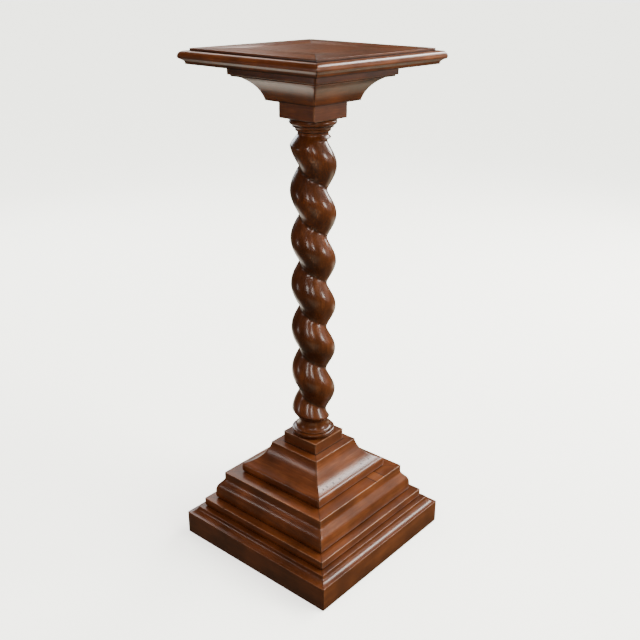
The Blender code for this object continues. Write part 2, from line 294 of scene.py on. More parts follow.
def let_in(tree, place, start, end, low):
    """(mask of a piece let in to the +X side's ledge from start to end, mask of the joints at its ends)."""
    x, y, z = add_node(tree, "SeparateXYZ", (place,)).node.outputs
    on_side = add_node(tree, "Math", (y,), operation="ABSOLUTE")
    on_side = add_node(tree, "Math", (x, on_side), operation="GREATER_THAN")
    on_ledge = add_node(tree, "Math", (z, low), operation="GREATER_THAN")
    on_ledge = add_node(tree, "Math", (on_side, on_ledge), operation="MULTIPLY")
    from_middle = add_node(tree, "Math", (y, 0.5 * (start + end)), operation="SUBTRACT")
    from_middle = add_node(tree, "Math", (from_middle,), operation="ABSOLUTE")
    half = 0.5 * (end - start)
    inside = add_node(tree, "Math", (from_middle, half), operation="LESS_THAN")
    inside = add_node(tree, "Math", (on_ledge, inside), operation="MULTIPLY")
    from_joint = add_node(tree, "Math", (from_middle, half), operation="SUBTRACT")
    from_joint = add_node(tree, "Math", (from_joint,), operation="ABSOLUTE")
    joint = add_node(tree, "Math", (from_joint, JOINT_HALF_WIDTH), operation="LESS_THAN")
    joint = add_node(tree, "Math", (on_ledge, joint), operation="MULTIPLY")
    return inside, joint


def mahogany(
    name,
    grain="side",
    turn=0.0,
    tint=1.0,
    gloss=0.0,
    polish=None,
    relief_depth=0.3,
    joints=True,
    contrast=0.6,
    seed=0.0,
    nicks=(),
    repair=None,
):
    """French-polished mahogany, planed or turned: red-brown, with long fine dark pores under a clear gloss.

    Painted shade lies black in the crevices, grooves and quirks, and the polish is rubbed through to paler
    wood on the arrises."""
    material = bpy.data.materials.new(name)
    material.use_nodes = True
    tree = material.node_tree
    shader = tree.nodes["Principled BSDF"]
    colours = finish()

    place = add_node(tree, "TexCoord", output="Object")
    place = add_node(tree, "Mapping", {"Vector": place, "Rotation": (0.0, 0.0, -turn)})
    mitre = None
    if grain == "side":
        grain_vector, mitre = sideways_grain(tree, place)
    else:
        quarter = {"x": (0.0, 0.0, 0.0), "z": (0.0, 0.5 * math.pi, 0.0)}[grain]
        grain_vector = add_node(tree, "Mapping", {"Vector": place, "Rotation": quarter})

    # Figure: broad ribbons 14 mm wide, streaks of 2.2 mm, and pores drawn 0.8 mm wide so that they show
    ribbons = streaks(tree, grain_vector, 14.0, 7.0, 2.0, 3.1 + seed)
    fine = streaks(tree, grain_vector, 2.2, 36.0, 3.0, 7.7 + seed)
    pores = streaks(tree, grain_vector, 0.8, 20.0, 1.0, 1.3 + seed)
    figure = add_node(tree, "Math", (fine, 0.4), operation="MULTIPLY")
    figure = add_node(tree, "Math", (ribbons, 0.6, figure), operation="MULTIPLY_ADD")
    figure = add_node(tree, "Math", (figure, contrast, 0.5 * (1.0 - contrast)), operation="MULTIPLY_ADD")
    names = ("dark_figure", "mid_figure", "light_figure", "glaze_and_shade", "worn")
    dark, mid, light, glaze_and_shade, worn = (linear(getattr(colours, each)) for each in names)
    stops = [(0.30, dark), (0.50, mid), (0.68, light)]
    colour = add_node(
        tree, "ValToRGB", (figure,), stops=[(p, (*[tint * v for v in c[:3]], 1.0)) for p, c in stops]
    )
    pore_mask = add_node(
        tree, "ValToRGB", (pores,), stops=[(0.50, (0.0, 0.0, 0.0, 1.0)), (0.66, (1.0, 1.0, 1.0, 1.0))]
    )
    # Layers over the figure, as (how much, colour, how it mixes)
    layers = []
    share = add_node(tree, "Math", (pore_mask, 0.3), operation="MULTIPLY")
    layers.append((share, dark, "MIX"))

    # Stain laid on unevenly, in clouds about 60 mm wide
    cloud = add_node(tree, "TexNoise", {"Vector": place, "Scale": 1.0 / (60.0 * MM), "Detail": 2.0})
    cloud_tint = add_node(
        tree, "ValToRGB", (cloud,), stops=[(0.30, (0.62, 0.60, 0.58, 1.0)), (0.70, (1.28, 1.24, 1.18, 1.0))]
    )
    layers.append((1.0, cloud_tint, "MULTIPLY"))

    # Rubbing and painted shade in the crevices follow attributes worked out from the shape
    patches = add_node(tree, "TexNoise", {"Vector": place, "Scale": 1.0 / (9.0 * MM), "Detail": 3.0})
    arris = add_node(tree, "Attribute", output="Fac", attribute_name="arris")
    crevice_shade = add_node(tree, "Attribute", output="Fac", attribute_name="crevice_shade")
    rubbed = add_node(tree, "Math", (patches, 2.2, -0.45), operation="MULTIPLY_ADD", use_clamp=True)
    rubbed = add_node(tree, "Math", (arris, rubbed), operation="MULTIPLY")
    rubbed = add_node(tree, "Math", (rubbed, 0.5), operation="MULTIPLY", use_clamp=True)
    layers.append((rubbed, worn, "MIX"))
    # Painted shade: the crevices, grooves, quirks and the plinth's foot are darkened towards black
    share = add_node(tree, "Math", (crevice_shade, 0.9), operation="MULTIPLY", use_clamp=True)
    layers.append((share, glaze_and_shade, "MIX"))
    if mitre is not None and joints:
        # The joint at each mitre shows as a glaze line, drawn 1.3 mm wide
        line = add_node(tree, "Math", (mitre, MITRE_REACH), operation="LESS_THAN")
        share = add_node(tree, "Math", (line, 0.75), operation="MULTIPLY")
        layers.append((share, glaze_and_shade, "MIX"))
    dent = dents(tree, place, nicks, DENT_RADIUS)
    if nicks:
        share = add_node(tree, "Math", (dent, 2.2), operation="MULTIPLY", use_clamp=True)
        layers.append((share, glaze_and_shade, "MIX"))
    if repair is not None:
        inside, joint = let_in(tree, place, *repair)
        share = add_node(tree, "Math", (inside, 0.35), operation="MULTIPLY")
        layers.append((share, light, "MIX"))
        layers.append((joint, glaze_and_shade, "MIX"))
    for share, paint, mode in layers:
        inputs = {0: share, 6: colour, 7: paint}
        colour = add_node(tree, "Mix", inputs, 2, data_type="RGBA", blend_type=mode)
    tree.links.new(colour, shader.inputs["Base Color"])

    rough = add_node(
        tree, "Math", (patches, 0.16, colours.roughness - 0.08 + gloss), operation="MULTIPLY_ADD"
    )
    share = add_node(tree, "Math", (crevice_shade, 0.25), operation="MULTIPLY")
    rough = add_node(tree, "Math", (rough, share), operation="ADD", use_clamp=True)
    tree.links.new(rough, shader.inputs["Roughness"])
    shader.inputs["Metallic"].default_value = 0.0
    # The wood has little shine of its own under shellac, which bends light much as wood does
    shader.inputs["IOR"].default_value = 1.45
    shader.inputs["Specular IOR Level"].default_value = 0.2
    shader.inputs["Coat Weight"].default_value = colours.polish_weight
    shader.inputs["Coat IOR"].default_value = 1.5
    shader.inputs["Coat Roughness"].default_value = colours.polish_roughness if polish is None else polish

    # The polish has sunk a little into the pores and lies in faint ripples
    ripple = add_node(tree, "TexNoise", {"Vector": place, "Scale": 1.0 / (22.0 * MM), "Detail": 1.0})
    relief = add_node(tree, "Math", (ripple, 0.12), operation="MULTIPLY")
    relief = add_node(tree, "Math", (pore_mask, -0.05, relief), operation="MULTIPLY_ADD")
    relief = add_node(tree, "Math", (dent, -1.5, relief), operation="MULTIPLY_ADD")
    bump = add_node(tree, "Bump", {"Strength": relief_depth, "Distance": 0.6 * MM, "Height": relief})
    tree.links.new(bump, shader.inputs["Normal"])
    tree.links.new(bump, shader.inputs["Coat Normal"])
    return material


# Outlines: points (half width or radius, height) from the bottom up


def arc(centre, radii, start, end, steps=8):
    angles = [math.radians(start + (end - start) * k / steps) for k in range(steps + 1)]
    return [(centre[0] + radii[0] * math.cos(a), centre[1] + radii[1] * math.sin(a)) for a in angles]


def hollow(lower, upper, depth, steps=28):
    """A shallow hollow, sunk by depth at its middle."""
    across, rise = upper[0] - lower[0], upper[1] - lower[1]
    chord = math.hypot(across, rise)
    points = []
    for k in range(steps + 1):
        t = k / steps
        sunk = 4.0 * depth * t * (1.0 - t)
        points.append(
            (lower[0] + across * t - sunk * rise / chord, lower[1] + rise * t + sunk * across / chord)
        )
    return points


def ogee(lower, upper, lean, steepness, steps=30):
    """An S-curve that leaves and arrives upright. A lean under 1 moves its slope upwards."""
    points = []
    for k in range(steps + 1):
        t = 1.0 - k / steps
        swell, sink = (t**lean) ** steepness, (1.0 - t**lean) ** steepness
        out = swell / (swell + sink)
        points.append((upper[0] + (lower[0] - upper[0]) * out, upper[1] + (lower[1] - upper[1]) * t))
    return points


def turning(before, here, after):
    """Angle that an outline turns by at a point: positive at an outer edge, negative in an inner corner."""
    first = (here[0] - before[0], here[1] - before[1])
    second = (after[0] - here[0], after[1] - here[1])
    return math.atan2(
        first[0] * second[1] - first[1] * second[0], first[0] * second[0] + first[1] * second[1]
    )


def corners_of(outline):
    """(outer edges, inner corners) of an outline, as arrays of points."""
    outer, inner = [outline[-1]], []
    for before, here, after in zip(outline, outline[1:], outline[2:]):
        turn = turning(before, here, after)
        if turn > SHARP_TURN:
            outer.append(here)
        elif turn < -SHARP_TURN:
            inner.append(here)
    return np.array(outer), np.array(inner).reshape(-1, 2)


def rounded(before, here, after, reach):
    """Points round a corner, on a curve that starts and ends at a reach from it."""
    ends = []
    for other in (before, after):
        away = math.dist(here, other)
        share = min(reach, 0.45 * away) / away
        ends.append((here[0] + (other[0] - here[0]) * share, here[1] + (other[1] - here[1]) * share))
    points = []
    for t in (0.0, 0.25, 0.5, 0.75, 1.0):
        weights = ((1.0 - t) ** 2, 2.0 * t * (1.0 - t), t * t)
        points.append(tuple(sum(w * p[k] for w, p in zip(weights, (ends[0], here, ends[1]))) for k in (0, 1)))
    return points


def eased(outline, outer_round, inner_round, longest):
    """Rounds each sharp point of an outline and divides its long steps."""
    points = [outline[0]]
    for before, here, after in zip(outline, outline[1:], outline[2:]):
        turn = turning(before, here, after)
        if abs(turn) < SHARP_TURN:
            points.append(here)
            continue
        points += rounded(before, here, after, outer_round if turn > 0.0 else inner_round)
    points.append(outline[-1])
    fine = [points[0]]
    for start, end in zip(points, points[1:]):
        count = max(1, math.ceil(math.dist(start, end) / longest))
        for k in range(1, count + 1):
            fine.append(
                (start[0] + (end[0] - start[0]) * k / count, start[1] + (end[1] - start[1]) * k / count)
            )
    return fine


# Modelling


def only(piece=None):
    bpy.ops.object.select_all(action="DESELECT")
    if piece is not None:
        piece.select_set(True)
        bpy.context.view_layer.objects.active = piece


def select_edges(piece, wanted):
    """Selects, in edit mode, the edges for which wanted(first point, second point) holds."""
    bpy.ops.mesh.select_mode(type="EDGE")
    bpy.ops.mesh.select_all(action="DESELECT")
    bpy.ops.object.mode_set(mode="OBJECT")
    points = piece.data.vertices
    for edge in piece.data.edges:
        first, second = (points[k].co for k in edge.vertices)
        edge.select = wanted(first, second)
    bpy.ops.object.mode_set(mode="EDIT")


def leave_edit_mode():
    """Turns all the faces of the piece outwards and leaves edit mode."""
    bpy.ops.mesh.select_all(action="SELECT")
    bpy.ops.mesh.normals_make_consistent(inside=False)
    bpy.ops.object.mode_set(mode="OBJECT")


def stacked_square(name, outline, corner, cuts):
    """A square moulding with rounded corners, extruded and resized from ring to ring up its outline."""
    only()
    half, height = outline[0]
    bpy.ops.mesh.primitive_plane_add(size=2.0 * half, location=(0.0, 0.0, height))
    piece = bpy.context.object
    piece.name = piece.data.name = name
    bpy.ops.object.transform_apply()
    bpy.ops.object.mode_set(mode="EDIT")
    bpy.ops.mesh.select_all(action="SELECT")
    bpy.ops.mesh.bevel(offset=corner, segments=4, affect="VERTICES")
    select_edges(piece, lambda a, b: (a - b).length > half)
    bpy.ops.mesh.subdivide(number_cuts=cuts)
    bpy.ops.mesh.select_mode(type="FACE")
    bpy.ops.mesh.select_all(action="SELECT")
    for (before, low), (after, high) in zip(outline, outline[1:]):
        bpy.ops.mesh.extrude_region_move(TRANSFORM_OT_translate={"value": (0.0, 0.0, high - low)})
        share = after / before
        bpy.ops.transform.resize(value=(share, share, 1.0), center_override=(0.0, 0.0, high))
    leave_edit_mode()
    return piece


def points_of(piece):
    places = np.zeros(3 * len(piece.data.vertices), np.float32)
    piece.data.vertices.foreach_get("co", places)
    return places.reshape(-1, 3).astype(float)


def set_points(piece, places):
    piece.data.vertices.foreach_set("co", places.astype(np.float32).ravel())
    piece.data.update()


def normals_of(piece):
    directions = np.zeros(3 * len(piece.data.vertices), np.float32)
    piece.data.vertices.foreach_get("normal", directions)
    return directions.reshape(-1, 3).astype(float)


def set_attribute(piece, name, values):
    attribute = piece.data.attributes.new(name, "FLOAT", "POINT")
    attribute.data.foreach_set("value", np.clip(values, 0.0, 1.0).astype(np.float32))


def near(flat_points, marks, reach):
    """1 at the nearest of the marks, falling off over the reach."""
    if len(marks) == 0:
        return np.zeros(len(flat_points))
    away = np.min(np.linalg.norm(flat_points[:, None, :] - marks[None, :, :], axis=2), axis=1)
    return np.exp(-((away / reach) ** 2))


def clouds(places, wavelength, seed):
    """Smooth noise from -1 to 1 at each point."""
    scaled = places / wavelength + seed
    return np.array([noise.noise(Vector(p)) for p in scaled])


def weather(piece, arris):
    """Rubs the arrises back a little unevenly and leaves the faces slightly wavy, as hand-planed wood is."""
    places, directions = points_of(piece), normals_of(piece)
    rub = np.clip(0.35 + 1.3 * clouds(places, RUB_LENGTH, 4.0), 0.0, 1.5)
    wave = 0.5 + 0.5 * clouds(places, WAVE_LENGTH, 9.0)
    sunk = RUB_DEPTH * arris * rub + WAVE_DEPTH * wave
    set_points(piece, places - directions * sunk[:, None])


def smooth(piece, angle):
    only(piece)
    bpy.ops.object.shade_smooth_by_angle(angle=math.radians(angle))


def settle(piece, node, material):
    """Gives a finished piece its finish and its place in the frame."""
    piece.data.materials.clear()
    piece.data.materials.append(material)
    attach(piece, "root")
    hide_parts(node)
    return piece


def square_piece(node, outline, material, turned=False, carries=None, foot_shade=0.0, wear=1.0):
    """Models, wears, turns and settles one square moulded piece from its outline above the node's foot.

    carries is the half width of the tier that stands on it, along whose foot painted shade is laid. The next
    argument is how dark the painted shade is made towards its foot, and wear how far its arrises are rubbed
    through."""
    sizes = shape()
    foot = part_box(node)[0].z
    outline = [(out, foot + up) for out, up in outline]
    outer, inner = corners_of(outline)
    top_half, top_height = outline[-1]
    inner = np.concatenate([inner, [outline[0]]])
    if carries is not None:
        outline.append((carries - INNER_MARGIN, top_height))
        inner = np.concatenate([inner, [(carries, top_height)]])
    fine = eased(outline, sizes.arris_round, sizes.quirk_round, sizes.ring_step)
    if carries is None:
        fine.append((top_half - INNER_MARGIN, top_height))
    piece = stacked_square(f"{node}_piece", fine, sizes.corner_round, sizes.side_cuts)
    places = points_of(piece)
    flat = np.stack([np.abs(places[:, :2]).max(1), places[:, 2]], axis=1)
    arris = near(flat, outer, ARRIS_REACH)
    # Painted shade in the inner corners and along the foot of the tier above
    crevice_shade = near(flat, inner, CREVICE_SHADE_REACH)
    corner = np.exp(-(((flat[:, 0] - np.abs(places[:, :2]).min(1)) / CORNER_REACH) ** 2))
    upright = 1.0 - np.abs(normals_of(piece)[:, 2])
    arris = np.maximum(arris, 0.5 * corner * upright)
    # Painted shade, darker towards the foot
    crevice_shade = np.maximum(crevice_shade, foot_shade * np.exp(-(((places[:, 2] - foot) / FOOT_SHADE_REACH) ** 2)))
    weather(piece, arris)
    set_attribute(piece, "arris", wear * arris)
    set_attribute(piece, "crevice_shade", crevice_shade)
    if turned:
        turn_head(piece)
    smooth(piece, 32.0)
    return settle(piece, node, material)


def turn_head(piece):
    only(piece)
    piece.rotation_euler.z = shape().head_turn
    bpy.ops.object.transform_apply()


def half_width(node, turned=False):
    """Half the width of a square node, read from its box."""
    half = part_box(node)[1].x
    turn = abs(shape().head_turn) if turned else 0.0
    return half / (math.cos(turn) + math.sin(turn))


class PEDESTAL_OT_plinth_board(bpy.types.Operator):
    """The deep flat board on the floor, with a ledge, a small cove and a lip"""

    bl_idname = "pedestal.plinth_board"
    bl_label = "Plinth Board"

    def execute(self, context):
        half = half_width("plinth_board")
        low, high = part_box("plinth_board")
        height = high.z - low.z
        # The small cove runs out over the ledge in a long easy curve
        foot_round, face, ledge, lip, cove = (v * MM for v in (2.5, 53.0, 2.0, 3.0, 15.0))
        outline = arc((half - foot_round, foot_round), (foot_round, foot_round), -90.0, 0.0, 5)
        outline += [(half, face)]
        outline += arc((half - ledge, height - lip), (cove, height - lip - face), 270.0, 180.0, 10)
        outline += [(half - ledge - cove, height)]
        # Painted shade: the board is darkened all over by its tint of 0.76, and more towards its foot
        material = mahogany("plinth_mahogany", tint=0.76, contrast=0.4)
        carries = half_width("step_board") - STEP_FOOT_ROUND[0]
        square_piece(
            "plinth_board", outline, material, carries=carries, foot_shade=0.4, wear=0.3
        )
        return {"FINISHED"}


class PEDESTAL_OT_step_board(bpy.types.Operator):
    """The flat step on the plinth, rounded under"""

    bl_idname = "pedestal.step_board"
    bl_label = "Step Board"

    def execute(self, context):
        half = half_width("step_board")
        low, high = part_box("step_board")
        under = STEP_FOOT_ROUND
        outline = arc((half - under[0], under[1]), under, -90.0, 0.0)
        outline += [(half, high.z - low.z)]
        material = mahogany("step_mahogany", seed=11.0)
        carries = half_width("ogee_board") - OGEE_FOOT_ROUND
        square_piece("step_board", outline, material, carries=carries)
        return {"FINISHED"}


class PEDESTAL_OT_ogee_board(bpy.types.Operator):
    """The tall board with a flat fillet, an ogee and a rounded foot"""

    bl_idname = "pedestal.ogee_board"
    bl_label = "Ogee Board"

    def execute(self, context):
        half = half_width("ogee_board")
        low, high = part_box("ogee_board")
        height = high.z - low.z
        fillet, swell, rise = (v * MM for v in (14.0, 15.4, 40.6))
        ogee_top = height - fillet
        ogee_foot = ogee_top - rise
        outline = arc((half - OGEE_FOOT_ROUND, ogee_foot), (OGEE_FOOT_ROUND, ogee_foot), -90.0, 0.0)
        outline += ogee((half, ogee_foot), (half - swell, ogee_top), 0.6, 2.4)[1:]
        outline += [(half - swell, height)]
        # A piece about 30 mm long has been let in to the right-hand ledge
        repair = (49.0 * MM, 79.0 * MM, high.z - 1.5 * MM)
        material = mahogany("ogee_mahogany", seed=23.0, repair=repair)
        carries = half_width("cove_base") - COVE_FOOT_ROUND[0]
        square_piece("ogee_board", outline, material, carries=carries)
        return {"FINISHED"}


class PEDESTAL_OT_cove_base(bpy.types.Operator):
    """The tall hollow that draws the base in to the column"""

    bl_idname = "pedestal.cove_base"
    bl_label = "Cove Base"

    def execute(self, context):
        half = half_width("cove_base")
        low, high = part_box("cove_base")
        height = high.z - low.z
        stock = half_width("column_plinth")
        under = COVE_FOOT_ROUND
        face, edge, ledge, depth, foot_edge = (v * MM for v in (13.0, 3.0, 19.2, 9.8, 4.5))
        top = stock + ledge
        outline = arc((half - under[0], under[1]), under, -90.0, 0.0)
        sweep = hollow((half, under[1] + face), (top, height - edge), depth)
        outline += rounded(outline[-1], sweep[0], sweep[4], foot_edge) + sweep[3:]
        outline += [(top, height)]
        # Dents along the foot of the right-hand hollow, as (place along the side, height above the foot)
        marks = ((-80.0, 27.3), (-67.0, 27.5), (-47.0, 26.5), (-26.0, 26.4), (49.0, 27.6), (75.0, 26.9))
        out = 96.0 * MM
        nicks = [(out, along * MM, low.z + up * MM) for along, up in marks]
        material = mahogany("cove_mahogany", seed=37.0, nicks=nicks)
        square_piece("cove_base", outline, material, carries=stock)
        return {"FINISHED"}


class PEDESTAL_OT_stock_blocks(bpy.types.Operator):
    """The square plinth under the column and the square neck block over it"""

    bl_idname = "pedestal.stock_blocks"
    bl_label = "Plinth and Neck Blocks"

    def execute(self, context):
        for node, turned in (("column_plinth", False), ("neck_block", True)):
            low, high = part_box(node)
            half = half_width(node, turned)
            turn = shape().head_turn if turned else 0.0
            # Painted shade: both blocks are darkened by a tint of 0.9, standing in for the shade under the
            # capital
            material = mahogany(f"{node}_mahogany", turn=turn, tint=0.9, joints=False, seed=51.0)
            edge = 1.0 * MM
            outline = [(half - edge, 0.0), (half, edge), (half, high.z - low.z)]
            square_piece(node, outline, material, turned)
        return {"FINISHED"}


class PEDESTAL_OT_capital(bpy.types.Operator):
    """The square hollow that spreads from the neck to the top"""

    bl_idname = "pedestal.capital"
    bl_label = "Capital"

    def execute(self, context):
        half = half_width("capital_cove", True)
        low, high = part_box("capital_cove")
        height = high.z - low.z
        stock = half_width("neck_block", True)
        fillet, step, step_rise, ledge = (v * MM for v in (18.3, 4.3, 3.3, 8.4))
        depth, edge, reach = (v * MM for v in (6.4, 1.9, 18.4))
        hollow_top = height - fillet - step_rise
        outline = [(stock + reach, 0.0)]
        outline += hollow((stock + reach, edge), (half - step - ledge, hollow_top), depth)
        outline += [(half - step, hollow_top), (half - step, height - fillet)]
        outline += [(half, height - fillet), (half, height)]
        material = mahogany("capital_mahogany", turn=shape().head_turn, seed=63.0)
        square_piece("capital_cove", outline, material, True)
        return {"FINISHED"}


class PEDESTAL_OT_top_board(bpy.types.Operator):
    """The moulded edge of the top: a small cove, a quirk and an ovolo"""

    bl_idname = "pedestal.top_board"
    bl_label = "Top Board"

    def execute(self, context):
        half = half_width("top_board", True)
        undercut, cove, cove_rise, quirk = (v * MM for v in (10.2, 3.9, 7.0, 1.2))
        under, ovolo, over = (v * MM for v in (5.0, 8.8, 10.0))
        widest = cove_rise + quirk + under
        cove_end = half - undercut + cove
        outline = arc((cove_end, 0.0), (cove, cove_rise), 180.0, 90.0)
        outline += arc((cove_end, widest), (half - cove_end, under), -80.0, 0.0)
        outline += arc((half - ovolo, widest), (ovolo, over), 0.0, 90.0, 12)[1:]
        material = mahogany("top_edge_mahogany", turn=shape().head_turn, seed=71.0)
        square_piece("top_board", outline, material, True, half - PANEL_MARGIN)
        return {"FINISHED"}


def mitred_board(name, half, width, low, high, quarter):
    """A thin rail with mitred ends, cut from a bevelled bar by two bisections."""
    only()
    bpy.ops.mesh.primitive_cube_add(size=1.0, location=(0.0, -half + 0.5 * width, 0.5 * (low + high)))
    piece = bpy.context.object
    piece.name = piece.data.name = name
    piece.scale = (2.0 * half, width, high - low)
    bpy.ops.object.transform_apply()
    bpy.ops.object.mode_set(mode="EDIT")
    for side in (1.0, -1.0):
        bpy.ops.mesh.select_all(action="SELECT")
        bpy.ops.mesh.bisect(
            plane_co=(side * (half - math.sqrt(2.0) * MITRE_GAP), -half, 0.0),
            plane_no=(side, 1.0, 0.0),
            use_fill=True,
            clear_outer=True,
        )
    select_edges(piece, lambda a, b: abs(a.z - b.z) < 0.1 * MM and min(a.z, b.z) > 0.5 * (low + high))
    bpy.ops.mesh.bevel(offset=0.7 * MM, segments=3, affect="EDGES")
    leave_edit_mode()
    piece.rotation_euler.z = quarter * 0.5 * math.pi + shape().head_turn
    bpy.ops.object.transform_apply()
    return piece


class PEDESTAL_OT_top_rails(bpy.types.Operator):
    """The four mitred rails laid on the top board"""

    bl_idname = "pedestal.top_rails"
    bl_label = "Top Rails"

    def execute(self, context):
        material = mahogany("rail_mahogany", turn=shape().head_turn, gloss=0.04, seed=83.0)
        half = half_width("top_board", True) - PANEL_MARGIN
        for quarter, side in enumerate(("front", "right", "back", "left")):
            node = f"top_rail_{side}"
            low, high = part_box(node)
            piece = mitred_board(f"{node}_piece", half, RAIL_WIDTH, low.z, high.z, quarter)
            set_attribute(piece, "arris", np.zeros(len(piece.data.vertices)))
            # Painted shade: each rail darkens towards its foot, as the shade between its side and the top
            # board
            set_attribute(piece, "crevice_shade", points_of(piece)[:, 2] < 0.5 * (low.z + high.z))
            smooth(piece, 35.0)
            settle(piece, node, material)
        return {"FINISHED"}


class PEDESTAL_OT_top_field(bpy.types.Operator):
    """The flat field inside the rails"""

    bl_idname = "pedestal.top_field"
    bl_label = "Top Field"

    def execute(self, context):
        low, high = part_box("top_field")
        half = half_width("top_field", True)
        outline = [(half, 0.0), (half, high.z - low.z)]
        material = mahogany("field_mahogany", grain="x", turn=shape().head_turn, gloss=0.02, seed=97.0)
        square_piece("top_field", outline, material, True)
        return {"FINISHED"}


# The column


def turned_ends(foot, top):
    """(outline of the turned foot, outline of the turned head), from the bottom up, round the twist."""
    stock = half_width("column_plinth")
    foot_round, fullest, torus = 6.3 * MM, 8.7 * MM, 11.9 * MM
    rim, quirk, rim_foot, rim_top, cove = 41.2 * MM, 39.4 * MM, 13.1 * MM, 14.3 * MM, 19.4 * MM
    lower = arc((stock - foot_round, fullest), (foot_round, fullest), -90.0, 0.0, 12)
    lower += arc((stock - foot_round, fullest), (foot_round, torus - fullest), 0.0, 80.0, 6)[1:]
    lower += [(quirk, torus), (quirk, rim_foot), (rim, rim_foot), (rim, rim_top)]
    lower += arc((rim, rim_top + cove), (rim - FOOT_NECK_RADIUS, cove), 270.0, 180.0, 16)[1:]
    small, fillet, wide, neck_height = 33.8 * MM, 1.6 * MM, 39.6 * MM, 7.6 * MM
    height = top - foot
    half_torus = 5.75 * MM
    torus_foot = height - 2.0 * half_torus
    wide_top = torus_foot - 1.6 * MM
    cove_top = wide_top - 2.2 * MM
    cove_foot = cove_top - 5.6 * MM
    small_foot = cove_foot - fillet
    upper = [(HEAD_NECK_RADIUS, small_foot - rise) for rise in (neck_height, fillet)] + [(small, small_foot)]
    upper += arc((wide, cove_foot), (wide - small, cove_top - cove_foot), 180.0, 90.0, 8)
    upper += [(wide, wide_top), (HEAD_QUIRK_RADIUS, wide_top), (HEAD_QUIRK_RADIUS, torus_foot)]
    upper += arc((stock - half_torus, height - half_torus), (half_torus, half_torus), -75.0, 90.0, 18)
    return lower, upper


def twist_radius(angle, height, length):
    """(radius of the twist, share of the bine from 0 in the groove to 1 on the crest), for arrays."""
    sizes = shape()
    crest_radius = half_width("column_plinth") - CREST_INSET
    crest = sizes.twist_start - 2.0 * math.pi * height / sizes.twist_pitch
    bine = np.sqrt(np.cos(0.5 * (angle - crest)) ** 2 + GROOVE_SOFTNESS**2) - GROOVE_SOFTNESS
    bine = (bine / (math.hypot(1.0, GROOVE_SOFTNESS) - GROOVE_SOFTNESS)) ** sizes.bine_fullness
    from_end = np.minimum(height, length - height)
    # The groove runs out over a longer stretch at its head, where it leaves a small flare
    at_foot = height < 0.5 * length
    cut = np.clip(from_end / np.where(at_foot, FOOT_RUNOUT, HEAD_RUNOUT), 0.0, 1.0)
    depth = (crest_radius - sizes.groove_radius) * cut * cut * (3.0 - 2.0 * cut)
    carved = crest_radius - depth * (1.0 - bine)
    neck = np.where(at_foot, FOOT_NECK_RADIUS, HEAD_NECK_RADIUS)
    risen = np.clip(from_end / SHOULDER_LENGTH, 0.0, 1.0)
    shoulder = crest_radius - (crest_radius - neck) * (1.0 - risen) ** SHOULDER_ROUNDING
    return np.minimum(carved, shoulder), bine


class PEDESTAL_OT_twist_column(bpy.types.Operator):
    """The column, turned as a plain cylinder, ringed at its ends and carved to the twist"""

    bl_idname = "pedestal.twist_column"
    bl_label = "Twist Column"

    def execute(self, context):
        low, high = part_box("twist_column")
        lower, upper = turned_ends(low.z, high.z)
        lower_fine = eased(lower, 0.5 * MM, 0.3 * MM, 1.4 * MM)
        upper_fine = eased(upper, 0.5 * MM, 0.3 * MM, 1.4 * MM)
        start, end = lower_fine[-1][1], upper_fine[0][1]
        length = end - start
        twist_rows = 300
        heights = [start + length * k / twist_rows for k in range(1, twist_rows)]
        radii = [p[0] for p in lower_fine] + [0.0] * len(heights) + [p[0] for p in upper_fine]
        heights = [p[1] for p in lower_fine] + heights + [p[1] for p in upper_fine]

        only()
        sides = shape().column_sides
        bpy.ops.mesh.primitive_circle_add(vertices=sides, radius=radii[0], fill_type="NGON")
        piece = bpy.context.object
        piece.name = piece.data.name = "twist_column_piece"
        bpy.ops.object.transform_apply()
        bpy.ops.object.mode_set(mode="EDIT")
        bpy.ops.mesh.select_all(action="SELECT")
        bpy.ops.mesh.extrude_region_move(TRANSFORM_OT_translate={"value": (0.0, 0.0, high.z - low.z)})
        # Each upright edge is divided twice, into one row for each height
        rows = len(heights) - 1
        first_cuts = 19
        second_cuts = math.ceil(rows / (first_cuts + 1)) - 1
        for cuts in (first_cuts, second_cuts):
            select_edges(piece, lambda a, b: abs(a.z - b.z) > 0.1 * MM)
            bpy.ops.mesh.subdivide(number_cuts=cuts)
        leave_edit_mode()

        places = points_of(piece)
        total = (first_cuts + 1) * (second_cuts + 1)
        row = np.rint(places[:, 2] / (high.z - low.z) * total)
        row = row * rows / total
        heights, radii = np.array(heights), np.array(radii)
        up = np.interp(row, np.arange(rows + 1), heights)
        radius = np.interp(row, np.arange(rows + 1), radii)
        angle = np.arctan2(places[:, 1], places[:, 0])
        in_twist = (up > start) & (up < end)
        carved, bine = twist_radius(angle, np.clip(up - start, 0.0, length), length)
        radius = np.where(in_twist, carved, radius)
        # The shaft has warped a little to one side
        bow = BOW * np.sqrt(np.clip(np.sin(math.pi * (up - start) / length), 0.0, 1.0)) * in_twist
        places = np.stack([radius * np.cos(angle), radius * np.sin(angle), low.z + up], axis=1)
        places[:, :2] += bow[:, None] * np.array([math.cos(BOW_DIRECTION), math.sin(BOW_DIRECTION)])
        set_points(piece, places)

        flat = np.stack([radius, up], axis=1)
        marks = [corners_of(part) for part in (lower, upper)]
        outer, inner = (np.concatenate([m[k] for m in marks]) for k in (0, 1))
        # Painted shade in the bottom of the groove and in the quirks of the turned ends
        groove = np.where(in_twist, 0.6 * np.exp(-((bine / 0.03) ** 2)), 0.0)
        set_attribute(piece, "arris", np.where(in_twist, 0.0, 0.2 * near(flat, outer, 0.8 * MM)))
        quirks = np.where(in_twist, 0.0, near(flat, inner, 1.2 * MM))
        set_attribute(piece, "crevice_shade", np.maximum(groove, quirks))
        smooth(piece, 50.0)
        polish = finish().turned_roughness
        material = mahogany(
            "turned_mahogany",
            grain="z",
            tint=0.7,
            gloss=-0.06,
            polish=polish,
            relief_depth=0.12,
            joints=False,
            seed=41.0,
        )
        settle(piece, "twist_column", material)
        return {"FINISHED"}


# The stage


